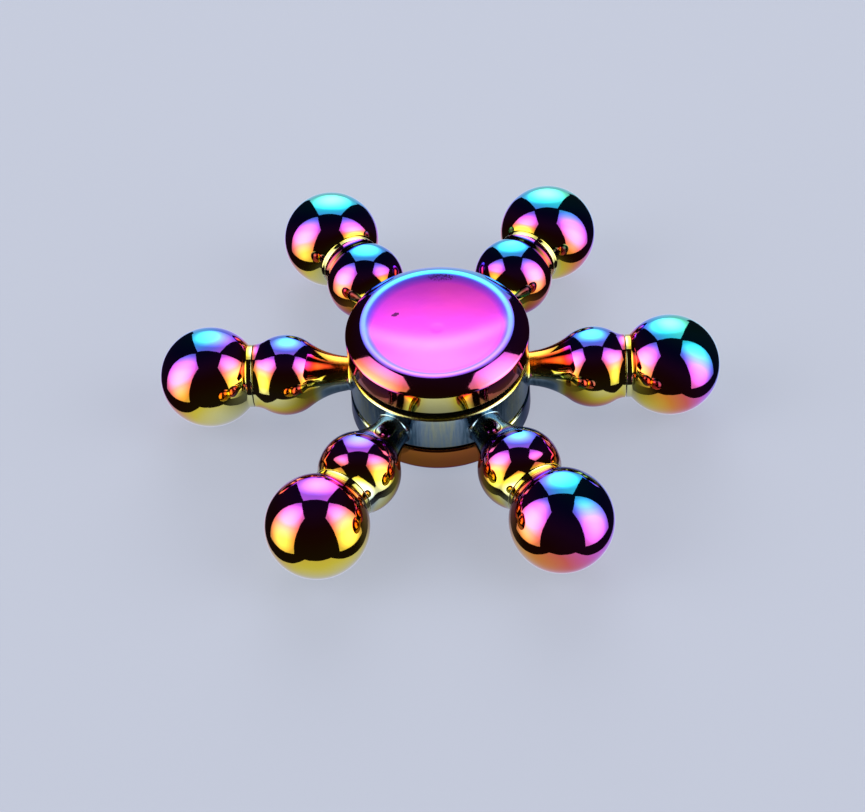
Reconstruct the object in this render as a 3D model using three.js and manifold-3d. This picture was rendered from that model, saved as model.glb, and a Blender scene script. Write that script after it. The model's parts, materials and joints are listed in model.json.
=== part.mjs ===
// A six-armed metal fidget spinner: a cast rotor turning on a ball bearing between two dished finger caps.
// Millimetres, +Z up along the spin axis, +X along the first arm.
// The origin is on the spin axis, in the flat rim of the bottom cap that the spinner stands on.
import * as THREE from "three";
import { mergeVertices } from "three/addons/utils/BufferGeometryUtils.js";
import Module from "manifold-3d";

const wasm = await Module();
wasm.setup();

// Rotor
const ARM_COUNT = 6;
const SPAN = 76; // over the tips of two opposite arms
const OUTER_BALL_R = 6.8;
const OUTER_BALL_AT = SPAN / 2 - OUTER_BALL_R;
const INNER_BALL_R = 5.48;
const INNER_BALL_AT = 20.9;
const NECK_R = 2.3;
const NECK_FLARE_R = 10; // hollow curve from the neck up to the inner ball
const COLLAR_R = 4.3; // where the two balls of an arm meet
const COLLAR_FLARE_R = 3; // hollow curve from the inner ball down to the collar
const COLLAR_CORNER_R = 0.35; // the same on the outer ball
const SEAM_AT = 25.1;
const SEAM_GAP = 0.1;
const SPIGOT_R = 2;
const SPIGOT_LENGTH = 4;
const HUB_R = 12.12;
const HUB_RISE = 3.14; // over the plane of the arms
const HUB_DROP = 2.44; // under it
const HUB_EDGE_R = 0.35;

// Ball bearing, inch size R188
const BEARING_BORE_R = 6.35 / 2;
const BEARING_OUTER_R = 12.7 / 2;
const BEARING_WIDTH = 4.762;
const BALL_COUNT = 10;
const BALL_R = 1.588 / 2;
const PITCH_R = (BEARING_BORE_R + BEARING_OUTER_R) / 2;
const GROOVE_CLEARANCE = 0.06;
const INNER_SHOULDER_R = 4.2;
const OUTER_SHOULDER_R = 5.32;
const CAGE_INNER_R = 4.45;
const CAGE_OUTER_R = 5.1;
const CAGE_HEIGHT = 2.1;
const POCKET_R = 0.87;
const SHIELD_SEAT_R = 5.75;
const SHIELD_SEAT_DEPTH = 0.43;
const SHIELD_BORE_R = 4.32;
const SHIELD_THICKNESS = 0.15;
const CLIP_INNER_R = 5.35;
const CLIP_THICKNESS = 0.16;
const CLIP_OPENING = THREE.MathUtils.degToRad(24);

// Finger caps
const CAP_R = 12.35; // at the foot of the bevel
const CAP_EDGE_R = 12.25; // at the edge that faces the hub
const CAP_CORNER_R = 0.3;
const CAP_WALL = 3.32;
const CAP_BEVEL_RISE = 1.37;
const RIM_OUTER_R = 10.26;
const RIM_INNER_R = 9.5;
const DISH_DEPTH = 1.0;
const TOP_GAP = 2.08; // from the top cap to the bearing
const BOTTOM_GAP = 0.41; // from the bottom cap to the bearing
const BOSS_R = 3.85;
const PLUG_R = 3.12; // goes into the bearing's bore
const PLUG_LENGTH = 2.2;
const STUD_R = 1.5;
const STUD_LENGTH = 5.6;
const THREAD_HOLE_DEPTH = 3;

const TOUCH_GAP = 0.05; // between pieces that rest on each other
const CAP_HEIGHT = CAP_WALL + CAP_BEVEL_RISE;
const MID_Z = CAP_HEIGHT + BOTTOM_GAP + BEARING_WIDTH / 2; // plane of the arms and the bearing

// Facets round each kind of piece
const HUB_SIDES = 40;
const CAP_SIDES = 40;
const ARM_SIDES = 18;
const BEARING_SIDES = 30;
const CAGE_SIDES = 30;
const POCKET_SIDES = 10;
const STUD_SIDES = 12;

const finish = (color, roughness) => new THREE.MeshStandardMaterial({ color, roughness, metalness: 1 });
const hubFinish = finish(0x6d7f96, 0.25);
const ballFinishes = [0x3f7fd0, 0x36c6e8, 0x8a4bd8, 0xb04ad0, 0x9a3fe0, 0x2fb6e0].map((c) => finish(c, 0.08));
const capFinish = finish(0xd84ad8, 0.35);
const steelFinish = finish(0xb9bcc2, 0.22);
const brassFinish = finish(0xb99a52, 0.35);

// Points on an arc of the profile plane, from one angle to another in degrees.
function arc(centreX, centreY, radius, from, to, steps) {
  return Array.from({ length: steps + 1 }, (unused, i) => {
    const angle = THREE.MathUtils.degToRad(from + ((to - from) * i) / steps);
    return [centreX + radius * Math.cos(angle), centreY + radius * Math.sin(angle)];
  });
}

// A piece turned about +Z. The profile lists [radius, height] counter-clockwise, and either starts and
// ends on the axis or closes on itself.
function turned(profile, sides) {
  const points = profile.map(([radius, height]) => new THREE.Vector2(Math.max(radius, 0), height));
  const closed = profile[0][0] > 0;
  if (closed) points.push(points[0].clone());
  return new THREE.LatheGeometry(points, sides).rotateX(Math.PI / 2);
}

// The same, turned about +X: the profile lists [distance along X, radius] clockwise.
function turnedAlongX(profile, sides) {
  const flipped = profile.map(([along, radius]) => [radius, along]);
  return turned(flipped, sides).rotateY(Math.PI / 2);
}

function toSolid(geometry) {
  const bare = geometry.clone();
  bare.deleteAttribute("normal");
  bare.deleteAttribute("uv");
  const merged = mergeVertices(bare, 1e-4);
  const { position } = merged.attributes;
  const triVerts = new Uint32Array(merged.index.array);
  return new wasm.Manifold(new wasm.Mesh({ numProp: 3, vertProperties: position.array, triVerts }));
}

function toGeometry(solid) {
  const mesh = solid.getMesh();
  const geometry = new THREE.BufferGeometry();
  geometry.setAttribute("position", new THREE.BufferAttribute(mesh.vertProperties, 3));
  geometry.setIndex(new THREE.BufferAttribute(mesh.triVerts, 1));
  return geometry;
}

function piece(name, geometry, material) {
  const mesh = new THREE.Mesh(geometry, material);
  mesh.name = name;
  return mesh;
}

// Angle in degrees at which a circle's point stands at a height above its centre.
const angleAtHeight = (height, radius) => THREE.MathUtils.radToDeg(Math.asin(height / radius));

// Rotor casting: hub ring, and for each arm the neck, the inner ball and the spigot of the outer ball.
function hubRing() {
  const boreR = BEARING_OUTER_R + TOUCH_GAP;
  const edge = HUB_R - HUB_EDGE_R;
  const leadIn = 0.25; // chamfer at both mouths of the bearing seat
  return turned(
    [
      [boreR, -HUB_DROP + leadIn],
      [boreR + leadIn, -HUB_DROP],
      ...arc(edge, -HUB_DROP + HUB_EDGE_R, HUB_EDGE_R, -90, 0, 3),
      ...arc(edge, HUB_RISE - HUB_EDGE_R, HUB_EDGE_R, 0, 90, 3),
      [boreR + leadIn, HUB_RISE],
      [boreR, HUB_RISE - leadIn],
    ],
    HUB_SIDES,
  );
}

function armCasting() {
  const root = (BEARING_OUTER_R + HUB_R) / 2; // the neck starts inside the ring
  const neckReach = INNER_BALL_R + NECK_FLARE_R;
  const neckRise = NECK_R + NECK_FLARE_R;
  const neckTurn = angleAtHeight(neckRise, neckReach);
  const neckCentre = INNER_BALL_AT - neckReach * Math.cos(THREE.MathUtils.degToRad(neckTurn));
  const collarReach = INNER_BALL_R + COLLAR_FLARE_R;
  const collarRise = COLLAR_R + COLLAR_FLARE_R;
  const collarTurn = angleAtHeight(collarRise, collarReach);
  const collarCentre = INNER_BALL_AT + collarReach * Math.cos(THREE.MathUtils.degToRad(collarTurn));
  const spigotChamfer = 0.4;
  const spigotEnd = SEAM_AT + SPIGOT_LENGTH;
  return turnedAlongX(
    [
      [root, 0],
      [root, NECK_R],
      ...arc(neckCentre, neckRise, NECK_FLARE_R, -90, -neckTurn, 3),
      ...arc(INNER_BALL_AT, 0, INNER_BALL_R, 180 - neckTurn, collarTurn, 6).slice(1),
      ...arc(collarCentre, collarRise, COLLAR_FLARE_R, 180 + collarTurn, 262, 2).slice(1),
      [SEAM_AT, COLLAR_R],
      [SEAM_AT, SPIGOT_R],
      [spigotEnd - spigotChamfer, SPIGOT_R],
      [spigotEnd, SPIGOT_R - spigotChamfer],
      [spigotEnd, 0],
    ],
    ARM_SIDES,
  );
}

function rotorBody() {
  let solid = toSolid(hubRing());
  for (let i = 0; i < ARM_COUNT; i++) {
    const arm = armCasting().rotateZ((i * 2 * Math.PI) / ARM_COUNT);
    solid = solid.add(toSolid(arm));
  }
  return piece("rotor_body", toGeometry(solid), hubFinish);
}

// Outer ball: pressed on its spigot, with a short collar at the seam.
function outerBall(index) {
  const face = SEAM_AT + SEAM_GAP;
  const socketEnd = SEAM_AT + SPIGOT_LENGTH + SEAM_GAP;
  const cornerRise = COLLAR_R + COLLAR_CORNER_R;
  const cornerReach = OUTER_BALL_R + COLLAR_CORNER_R;
  const cornerTurn = angleAtHeight(cornerRise, cornerReach);
  const cornerCentre = OUTER_BALL_AT - cornerReach * Math.cos(THREE.MathUtils.degToRad(cornerTurn));
  const geometry = turnedAlongX(
    [
      [socketEnd, 0],
      [socketEnd, SPIGOT_R + TOUCH_GAP],
      [face, SPIGOT_R + TOUCH_GAP],
      [face, COLLAR_R],
      ...arc(cornerCentre, cornerRise, COLLAR_CORNER_R, -90, -cornerTurn, 1),
      ...arc(OUTER_BALL_AT, 0, OUTER_BALL_R, 180 - cornerTurn, 0, 9).slice(1),
    ],
    ARM_SIDES,
  );
  return piece(`outer_ball_${index + 1}`, geometry, ballFinishes[index]);
}

// Bearing pieces, all about the mid plane.
function outerRace() {
  const half = BEARING_WIDTH / 2;
  const grooveR = PITCH_R + BALL_R + GROOVE_CLEARANCE;
  const grooveHalf = 0.55;
  const seatZ = half - SHIELD_SEAT_DEPTH;
  const edge = 0.12;
  const geometry = turned(
    [
      [BEARING_OUTER_R, -half + edge],
      [BEARING_OUTER_R, half - edge],
      [BEARING_OUTER_R - edge, half],
      [SHIELD_SEAT_R, half],
      [SHIELD_SEAT_R, seatZ],
      [OUTER_SHOULDER_R, seatZ],
      [OUTER_SHOULDER_R, grooveHalf],
      [grooveR, grooveHalf / 2],
      [grooveR, -grooveHalf / 2],
      [OUTER_SHOULDER_R, -grooveHalf],
      [OUTER_SHOULDER_R, -seatZ],
      [SHIELD_SEAT_R, -seatZ],
      [SHIELD_SEAT_R, -half],
      [BEARING_OUTER_R - edge, -half],
    ],
    BEARING_SIDES,
  );
  return piece("bearing_outer_race", geometry, steelFinish);
}

function innerRace() {
  const half = BEARING_WIDTH / 2;
  const grooveR = PITCH_R - BALL_R - GROOVE_CLEARANCE;
  const grooveHalf = 0.55;
  const edge = 0.12;
  const geometry = turned(
    [
      [BEARING_BORE_R, half - edge],
      [BEARING_BORE_R, -half + edge],
      [BEARING_BORE_R + edge, -half],
      [INNER_SHOULDER_R, -half],
      [INNER_SHOULDER_R, -grooveHalf],
      [grooveR, -grooveHalf / 2],
      [grooveR, grooveHalf / 2],
      [INNER_SHOULDER_R, grooveHalf],
      [INNER_SHOULDER_R, half],
      [BEARING_BORE_R + edge, half],
    ],
    BEARING_SIDES,
  );
  return piece("bearing_inner_race", geometry, steelFinish);
}

function bearingBall(index) {
  const angle = ((index + 0.5) * 2 * Math.PI) / BALL_COUNT;
  const ball = piece(`bearing_ball_${index + 1}`, new THREE.SphereGeometry(BALL_R, 8, 6), steelFinish);
  ball.position.set(PITCH_R * Math.cos(angle), PITCH_R * Math.sin(angle), 0);
  return ball;
}

function bearingCage() {
  const half = CAGE_HEIGHT / 2;
  const ring = [
    [CAGE_OUTER_R, -half],
    [CAGE_OUTER_R, half],
    [CAGE_INNER_R, half],
    [CAGE_INNER_R, -half],
  ];
  let solid = toSolid(turned(ring, CAGE_SIDES));
  for (let i = 0; i < BALL_COUNT; i++) {
    const pocket = new THREE.CylinderGeometry(POCKET_R, POCKET_R, CAGE_OUTER_R, POCKET_SIDES);
    pocket.rotateZ(Math.PI / 2).translate(PITCH_R, 0, 0);
    pocket.rotateZ(((i + 0.5) * 2 * Math.PI) / BALL_COUNT);
    solid = solid.subtract(toSolid(pocket));
  }
  return piece("bearing_cage", toGeometry(solid), brassFinish);
}

// Shields and their spring clips sit in the outer race, one pair on each side.
function shield(side) {
  const seat = BEARING_WIDTH / 2 - SHIELD_SEAT_DEPTH + TOUCH_GAP / 2;
  const outerR = SHIELD_SEAT_R - TOUCH_GAP;
  const lipR = SHIELD_BORE_R + 0.25;
  const lipRise = 0.12; // the bore's edge is pressed outwards
  const geometry = turned(
    [
      [SHIELD_BORE_R, seat + lipRise],
      [lipR, seat],
      [outerR, seat],
      [outerR, seat + SHIELD_THICKNESS],
      [lipR, seat + SHIELD_THICKNESS],
      [SHIELD_BORE_R, seat + SHIELD_THICKNESS + lipRise],
    ],
    BEARING_SIDES,
  );
  if (side === "bottom") geometry.rotateX(Math.PI);
  return piece(`bearing_shield_${side}`, geometry, steelFinish);
}

function shieldClip(side) {
  const outerR = SHIELD_SEAT_R - TOUCH_GAP;
  const start = CLIP_OPENING / 2;
  const end = 2 * Math.PI - CLIP_OPENING / 2;
  const outline = new THREE.Shape();
  outline.absarc(0, 0, outerR, start, end, false);
  outline.absarc(0, 0, CLIP_INNER_R, end, start, true);
  outline.closePath();
  const geometry = new THREE.ExtrudeGeometry(outline, {
    depth: CLIP_THICKNESS,
    bevelEnabled: false,
    curveSegments: BEARING_SIDES / 2,
  });
  const shieldTop = BEARING_WIDTH / 2 - SHIELD_SEAT_DEPTH + SHIELD_THICKNESS;
  geometry.translate(0, 0, shieldTop + TOUCH_GAP);
  if (side === "bottom") geometry.rotateX(Math.PI);
  return piece(`shield_clip_${side}`, geometry, steelFinish);
}

// Finger cap: a bevelled disc with a finger dish, a boss that stands on the inner race, a plug in the
// race's bore and a blind hole for the stud. It is drawn facing up, with its hub-side edge at height 0.
function cap(name, gap) {
  const dishR = (RIM_INNER_R ** 2 + DISH_DEPTH ** 2) / (2 * DISH_DEPTH);
  const dishEdge = angleAtHeight(RIM_INNER_R, dishR);
  const bossEnd = -gap + TOUCH_GAP;
  const plugEnd = bossEnd - PLUG_LENGTH;
  const plugChamfer = 0.25;
  const holeR = STUD_R + TOUCH_GAP;
  const geometry = turned(
    [
      [0, plugEnd + THREAD_HOLE_DEPTH],
      [holeR, plugEnd + THREAD_HOLE_DEPTH],
      [holeR, plugEnd],
      [PLUG_R - plugChamfer, plugEnd],
      [PLUG_R, plugEnd + plugChamfer],
      [PLUG_R, bossEnd],
      [BOSS_R, bossEnd],
      [BOSS_R, 0],
      [CAP_EDGE_R - CAP_CORNER_R, 0],
      [CAP_EDGE_R, CAP_CORNER_R],
      [CAP_R, CAP_WALL - CAP_CORNER_R],
      [CAP_R - CAP_CORNER_R, CAP_WALL + CAP_CORNER_R / 2],
      [RIM_OUTER_R, CAP_HEIGHT],
      [RIM_INNER_R, CAP_HEIGHT],
      ...arc(0, CAP_HEIGHT - DISH_DEPTH + dishR, dishR, dishEdge - 90, -90, 4).slice(1),
    ],
    CAP_SIDES,
  );
  return piece(name, geometry, capFinish);
}

function centreStud() {
  const half = STUD_LENGTH / 2;
  const chamfer = 0.3;
  const geometry = turned(
    [
      [0, -half],
      [STUD_R - chamfer, -half],
      [STUD_R, -half + chamfer],
      [STUD_R, half - chamfer],
      [STUD_R - chamfer, half],
      [0, half],
    ],
    STUD_SIDES,
  );
  return piece("centre_stud", geometry, steelFinish);
}

// Everything on the mid plane, then the caps above and below it.
const spinner = new THREE.Group();

const midPlane = new THREE.Group();
midPlane.position.z = MID_Z;
spinner.add(midPlane);

midPlane.add(rotorBody());
for (let i = 0; i < ARM_COUNT; i++) {
  const ball = outerBall(i);
  ball.rotation.z = (i * 2 * Math.PI) / ARM_COUNT;
  midPlane.add(ball);
}

midPlane.add(outerRace());
midPlane.add(innerRace());
midPlane.add(bearingCage());
for (let i = 0; i < BALL_COUNT; i++) midPlane.add(bearingBall(i));
for (const side of ["top", "bottom"]) {
  midPlane.add(shield(side));
  midPlane.add(shieldClip(side));
}

const topCap = cap("top_cap", TOP_GAP);
topCap.position.z = BEARING_WIDTH / 2 + TOP_GAP;
midPlane.add(topCap);

const bottomCap = cap("bottom_cap", BOTTOM_GAP);
bottomCap.rotation.x = Math.PI;
bottomCap.position.z = -BEARING_WIDTH / 2 - BOTTOM_GAP;
midPlane.add(bottomCap);

midPlane.add(centreStud());

export default spinner;
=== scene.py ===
"""Looks of a six-armed iridescent fidget spinner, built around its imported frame.

Lengths are in millimetres until a mesh or a light is made: MM turns them into Blender's metres.
"""

import json
import math

import bpy
import numpy as np
from mathutils import Matrix, Vector


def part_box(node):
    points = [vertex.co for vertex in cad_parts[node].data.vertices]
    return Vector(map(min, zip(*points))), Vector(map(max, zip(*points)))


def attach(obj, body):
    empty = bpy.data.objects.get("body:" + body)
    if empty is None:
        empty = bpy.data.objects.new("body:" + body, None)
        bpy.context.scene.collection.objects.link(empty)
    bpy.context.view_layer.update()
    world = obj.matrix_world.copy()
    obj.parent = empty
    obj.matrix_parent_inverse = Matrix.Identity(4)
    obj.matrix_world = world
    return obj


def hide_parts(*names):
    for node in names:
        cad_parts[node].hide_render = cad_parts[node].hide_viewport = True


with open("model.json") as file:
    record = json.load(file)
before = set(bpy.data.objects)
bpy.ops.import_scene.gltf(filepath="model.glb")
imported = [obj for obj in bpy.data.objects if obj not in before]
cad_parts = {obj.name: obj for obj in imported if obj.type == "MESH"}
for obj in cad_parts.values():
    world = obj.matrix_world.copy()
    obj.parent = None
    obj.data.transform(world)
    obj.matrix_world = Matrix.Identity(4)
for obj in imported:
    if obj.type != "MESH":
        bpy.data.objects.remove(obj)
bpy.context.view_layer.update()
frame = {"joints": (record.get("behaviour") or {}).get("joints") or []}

MM = 0.001
MID_Z = frame["joints"][0]["pos_m"][2] / MM  # plane of the arms and the bearing
TOP_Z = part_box("top_cap")[1].z / MM
SPAN = 2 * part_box("outer_ball_1")[1].x / MM

# Rotor
ARM_COUNT = 6
ARM_TURN = 360 / ARM_COUNT  # degrees from one arm to the next
OUTER_BALL_R = 6.8
OUTER_BALL_AT = SPAN / 2 - OUTER_BALL_R
INNER_BALL_R = 5.48
INNER_BALL_AT = 20.9
NECK_R = 2.3
NECK_FLARE_R = 10
NECK_ROOT_LENGTH = 0.75
NECK_ROOT_SIDE_R = 0.6  # hollow of the root beside the neck, and over and under it
NECK_ROOT_TOP_R = 0.12
COLLAR_R = 4.3
COLLAR_FLARE_R = 3
COLLAR_FLARE_END = 266  # degrees: the flare's arc ends almost level with the collar
COLLAR_CORNER_R = 0.35
SEAM_AT = 25.1
SEAM_GAP = 0.1
BALL_SEAM_CORNER_R = 0.08
CASTING_SEAM_CORNER_R = 0.05
SPIGOT_R = 2
SPIGOT_LENGTH = 4
SPIGOT_TIP = 0.4  # its chamfer
NECK_END_AT = 15.5  # from here outwards the casting is fully polished
HUB_R = 12.12
HUB_RISE = 3.14  # over the plane of the arms
HUB_DROP = 2.44  # under it
HUB_EDGE_R = 0.35

# Ball bearing
BEARING_BORE_R = 3.175
BEARING_OUTER_R = 6.35
BEARING_WIDTH = 4.762
BALL_COUNT = 10
BALL_R = 0.794
PITCH_R = (BEARING_BORE_R + BEARING_OUTER_R) / 2
INNER_SHOULDER_R = 4.2
OUTER_SHOULDER_R = 5.32
CAGE_INNER_R = 4.45
CAGE_OUTER_R = 5.1
CAGE_HEIGHT = 2.1
POCKET_R = 0.87
SHIELD_SEAT_R = 5.75
SHIELD_SEAT_DEPTH = 0.43
SHIELD_BORE_R = 4.32
SHIELD_THICKNESS = 0.15
CLIP_INNER_R = 5.35
CLIP_THICKNESS = 0.16
CLIP_OPENING = 24  # degrees
RACE_CORNER_R = 0.12

# Finger caps
CAP_R = 12.35
CAP_EDGE_R = 12.25
CAP_WALL = 3.32
CAP_BEVEL_RISE = 1.37
CAP_HEIGHT = CAP_WALL + CAP_BEVEL_RISE
RIM_OUTER_R = 10.26
RIM_INNER_R = 9.5
RIM_ROUND = 1.0  # between the rim and the bevel
FOOT_ROUND = 0.6  # between the bevel and the wall
DISH_DEPTH = 1.0
LIP_ROUND = 0.25  # soft edge between the flat rim and the dish
PIP_R = 0.8
PIP_RISE = 0.045
TOP_GAP = TOP_Z - MID_Z - BEARING_WIDTH / 2 - CAP_HEIGHT  # from the cap to the bearing
BOTTOM_GAP = MID_Z - BEARING_WIDTH / 2 - CAP_HEIGHT
BOSS_R = 3.85
PLUG_R = 3.12
PLUG_LENGTH = 2.2
STUD_R = 1.5
STUD_LENGTH = 5.6
THREAD_HOLE_DEPTH = 3

TOUCH_GAP = 0.05  # left between pieces that touch

CORNER_STEP = 15  # degrees between the points of a rounded corner

# Facets round each kind of piece
SIDES_CAP = 192
SIDES_ARM = 112
SIDES_BEARING = 96
SIDES_SMALL = 48


def smooth_step(low, high, value):
    """0 below low, 1 above high, and a smooth rise between them."""
    t = np.clip((value - low) / (high - low), 0, 1)
    return t * t * (3 - 2 * t)


# Outlines


def arc(centre, radius, start, end, step=6):
    """Points on an arc of the outline's plane, angles in degrees, with a point about every step degrees."""
    count = max(2, round(abs(end - start) / step))
    angles = np.radians(np.linspace(start, end, count + 1))
    return [(centre[0] + radius * math.cos(a), centre[1] + radius * math.sin(a)) for a in angles]


def line(start, end, count):
    """Points that divide a straight stretch, without its two ends."""
    return [
        (start[0] + (end[0] - start[0]) * i / count, start[1] + (end[1] - start[1]) * i / count)
        for i in range(1, count)
    ]


def rounded(points, radii, closed):
    """The outline with each corner rounded by its own radius (0 keeps it sharp)."""
    count = len(points)
    out = []
    for i, (corner, radius) in enumerate(zip(points, radii)):
        if radius == 0 or (not closed and i in (0, count - 1)):
            out.append(corner)
            continue
        here = Vector(corner)
        back = (Vector(points[i - 1]) - here).normalized()
        ahead = (Vector(points[(i + 1) % count]) - here).normalized()
        half = back.angle(ahead) / 2
        centre = here + (back + ahead).normalized() * (radius / math.sin(half))
        reach = radius / math.tan(half)
        first = here + back * reach - centre
        last = here + ahead * reach - centre
        start = math.degrees(math.atan2(first.y, first.x))
        turn = math.degrees(math.atan2(last.y, last.x)) - start
        turn = (turn + 180) % 360 - 180
        out += arc(centre, radius, start, start + turn, CORNER_STEP)
    return out


# Meshes


def turned(outline, sides, closed):
    """Vertices and faces of an outline of (radius, height) turned about +Z. It runs counter-clockwise."""
    verts, faces, rings = [], [], []
    turns = [2 * math.pi * i / sides for i in range(sides)]
    for radius, height in outline:
        first = len(verts)
        if radius < 1e-9:
            verts.append((0, 0, height))
            rings.append([first] * sides)
            continue
        verts += [(radius * math.cos(a), radius * math.sin(a), height) for a in turns]
        rings.append(list(range(first, first + sides)))
    pairs = list(zip(rings, rings[1:]))
    if closed:
        pairs.append((rings[-1], rings[0]))
    for low, high in pairs:
        for i in range(sides):
            j = (i + 1) % sides
            corners = [low[i], low[j], high[j], high[i]]
            face = [c for k, c in enumerate(corners) if c != corners[k - 1]]
            if len(face) > 2:
                faces.append(face)
    return np.array(verts, float), faces


def along_x(verts):
    """Turns +Z into +X."""
    return verts[:, [2, 0, 1]]


def turn_z(verts, degrees):
    c, s = math.cos(math.radians(degrees)), math.sin(math.radians(degrees))
    return verts @ np.array([[c, s, 0], [-s, c, 0], [0, 0, 1]])


def flip_x(verts):
    """Half a turn about +X."""
    return verts * np.array([1, -1, -1])


def joined(shells):
    """One list of vertices and one of faces from several shells."""
    verts, faces, base = [], [], 0
    for shell_verts, shell_faces in shells:
        verts.append(shell_verts)
        faces += [[base + c for c in face] for face in shell_faces]
        base += len(shell_verts)
    return np.concatenate(verts), faces


def make_piece(name, shell, sharp=50):
    """A mesh object from vertices about the mid plane, in millimetres, and faces."""
    verts, faces = shell
    placed = (verts + np.array([0, 0, MID_Z])) * MM
    mesh = bpy.data.meshes.new(name)
    mesh.from_pydata(placed.tolist(), [], faces)
    mesh.update()
    mesh.shade_smooth()
    mesh.set_sharp_from_angle(angle=math.radians(sharp))
    obj = bpy.data.objects.new(name, mesh)
    bpy.context.scene.collection.objects.link(obj)
    return obj


def paint(obj, name, values):
    """Keeps one number for each vertex, for the materials to read."""
    data = obj.data.attributes.new(name, "FLOAT", "POINT")
    data.data.foreach_set("value", np.asarray(values, np.float32))


def settle(obj, body, slot, material, *nodes):
    """Gives a piece its body and its finish, and hides the CAD nodes that it stands for."""
    obj.data.materials.append(material)
    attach(obj, body)
    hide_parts(*nodes)
    return obj


# Materials


def node_tree(name):
    material = bpy.data.materials.new(name)
    material.use_nodes = True
    nodes = material.node_tree.nodes
    return material, nodes, material.node_tree.links, nodes["Principled BSDF"]


def add_math(nodes, links, operation, first, second):
    node = nodes.new("ShaderNodeMath")
    node.operation = operation
    for socket, value in zip(node.inputs, (first, second)):
        if isinstance(value, (int, float)):
            socket.default_value = value
        else:
            links.new(value, socket)
    return node.outputs[0]


def noise(nodes, links, per_mm, detail, stretch=(1, 1, 1)):
    """Noise fixed to the piece, with features of about 1 / per_mm millimetres."""
    place = nodes.new("ShaderNodeTexCoord")
    mapping = nodes.new("ShaderNodeMapping")
    mapping.inputs["Scale"].default_value = [s / MM for s in stretch]
    texture = nodes.new("ShaderNodeTexNoise")
    texture.inputs["Scale"].default_value = per_mm
    texture.inputs["Detail"].default_value = detail
    links.new(place.outputs["Object"], mapping.inputs["Vector"])
    links.new(mapping.outputs["Vector"], texture.inputs["Vector"])
    return texture.outputs["Fac"]


def srgb(red, green, blue):
    """A colour from 0-255 values, for a colour socket."""
    channels = [c / 255 for c in (red, green, blue)]
    return [c / 12.92 if c <= 0.04045 else ((c + 0.055) / 1.055) ** 2.4 for c in channels] + [1]


# Colours of the vapour coating as it gets thicker. 1 is the thickest.
FILM = (
    # painted shade: this darkest stop colours the hub wall, the necks' undersides and the front necks,
    # which lie in shade
    (0.00, srgb(46, 96, 120)),
    (0.05, srgb(160, 190, 206)),
    (0.11, srgb(226, 232, 178)),
    (0.22, srgb(242, 220, 66)),
    (0.33, srgb(240, 150, 52)),
    (0.41, srgb(238, 110, 92)),
    (0.48, srgb(238, 106, 172)),
    (0.53, srgb(240, 104, 218)),
    (0.58, srgb(214, 92, 240)),
    (0.64, srgb(168, 92, 240)),
    (0.70, srgb(112, 104, 240)),
    (0.74, srgb(88, 118, 240)),
    (0.79, srgb(62, 160, 240)),
    (0.87, srgb(50, 212, 240)),
    (0.96, srgb(84, 238, 226)),
    (1.00, srgb(92, 240, 196)),
)
FILM_WANDER = 0.07  # how far the thickness strays over a piece
REFLECTANCE = 0.62  # of the coated metal where a colour is full
ORANGE_PEEL = 0.012  # height of the polished casting's slow waves, mm
FINE_PEEL = 0.35  # height of its finer waves, as a share of the slow ones
GRAIN_HEIGHT = 0.25  # the same for the blasting
STREAK_HEIGHT = 0.8  # and for the rubbed streaks
STREAK_FILM = 0.09  # how much the streaks change the coating
BLASTED_TINT = (0.64, 0.30, 0.56, 1)  # a blasted surface reflects twice in places, so its colour is deeper
WORN_COLOUR = srgb(40, 14, 48)
WORN_DEPTH = 0.9  # how much of that colour shows in a speck
WORN_THRESHOLD = 0.99
WORN_SHARPNESS = 7

# Features of each noise per millimetre
WANDER_GRAIN = 0.16
SMUDGE_GRAIN = 0.5
PEEL_GRAIN = 0.35
FINE_PEEL_GRAIN = 1.2
STREAK_GRAIN = 3
BLASTED_GRAIN = 9
WORN_GRAIN = 5
CLOUD_GRAIN = 0.6

STREAK_STRETCH = (1, 1, 0.1)  # upright
LATHE_STRETCH = (0.15, 0.15, 6)  # round the spin axis
LATHE_LINE_HEIGHT = 0.004  # mm


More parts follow.
